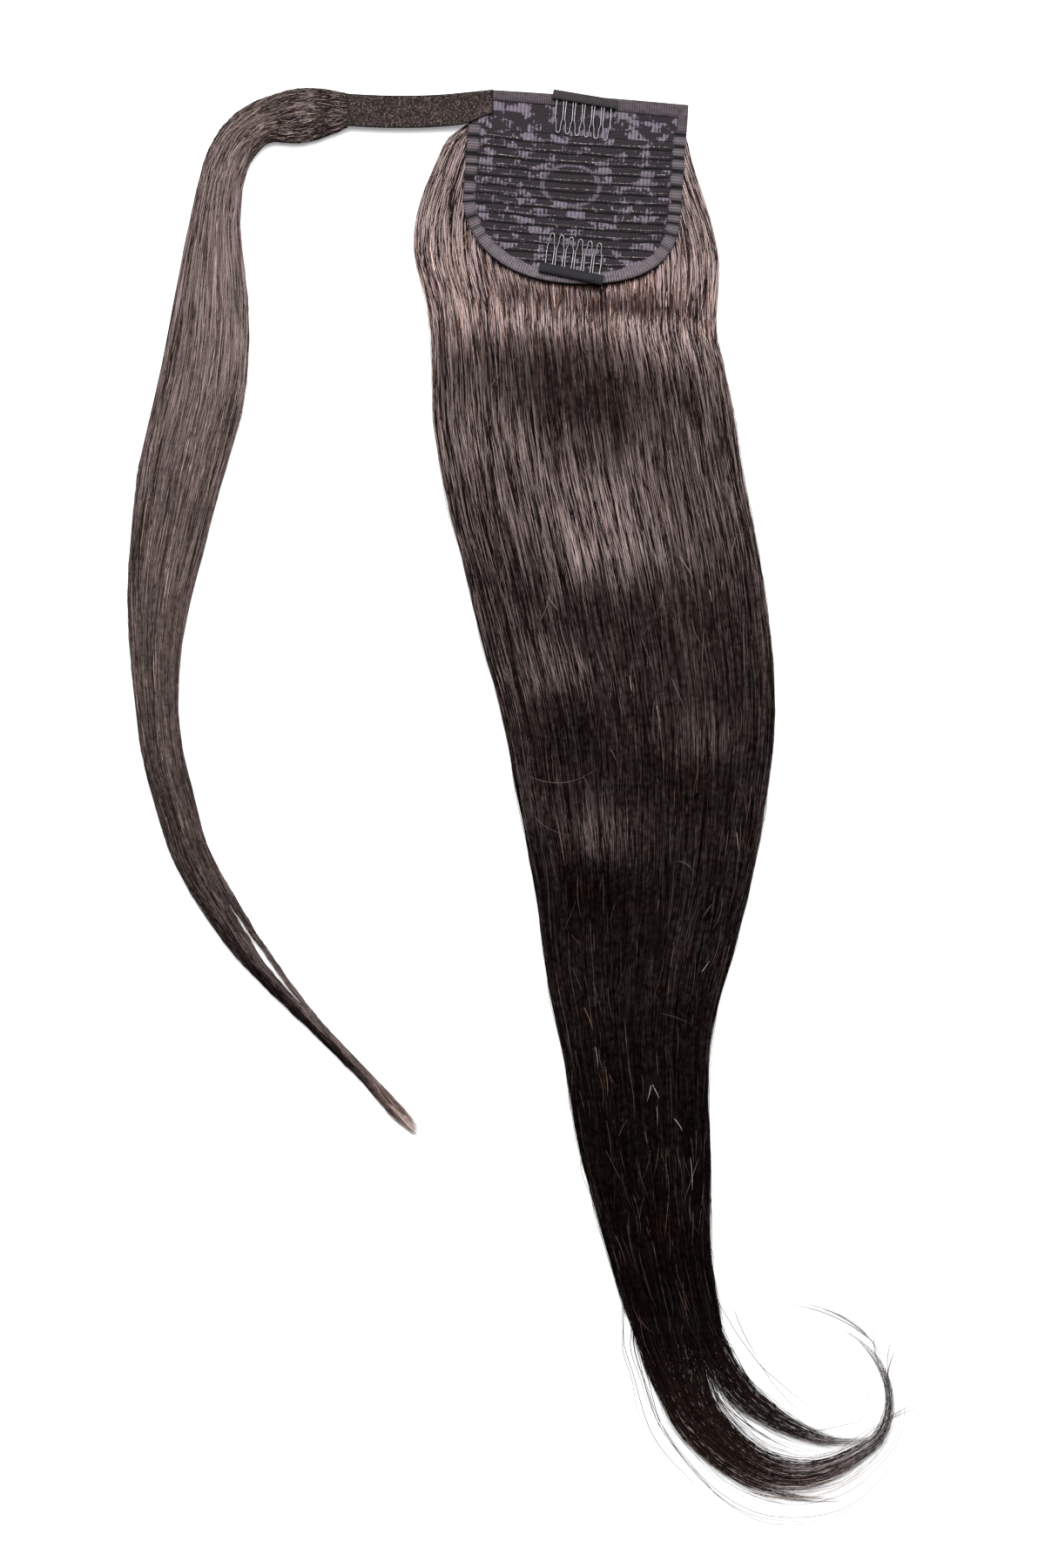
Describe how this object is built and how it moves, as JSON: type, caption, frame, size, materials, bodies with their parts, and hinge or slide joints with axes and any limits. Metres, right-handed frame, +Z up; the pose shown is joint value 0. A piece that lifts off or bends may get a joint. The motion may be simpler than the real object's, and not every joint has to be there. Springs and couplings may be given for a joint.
{
  "type": "clip-in ponytail hairpiece",
  "caption": "Long straight clip-in ponytail on a ribbed lace cap with wire combs, a hook-and-loop strap and a wrapping lock.",
  "frame": {"origin": "middle of the bounding box's base, on the table that the hairpiece lies on", "axes": "+Z up off the table, +Y from the tail's tip towards the cap, +X to the side that the tail's tip curls to"},
  "size_m": [0.3294, 0.6074, 0.019],
  "materials": {
    "hair": "very dark brown hair with a soft sheen along its strands",
    "lace": "charcoal stretch lace with lavender-grey patches, matte",
    "tape": "dark charcoal elastic tape, matte",
    "strap": "brown-grey brushed loop pile, matte",
    "wire": "plain bent spring wire, satin"
  },
  "bodies": {
    "root": {"tail_hair": "hair", "wrap_hair": "hair", "cap_panel": "lace", "edge_tape": "tape", "top_tape": "tape", "wrap_strap": "strap", "top_comb_sleeve": "tape", "bottom_comb_sleeve": "tape", "top_comb_wire": "wire", "bottom_comb_wire": "wire"}
  },
  "joints": []
}
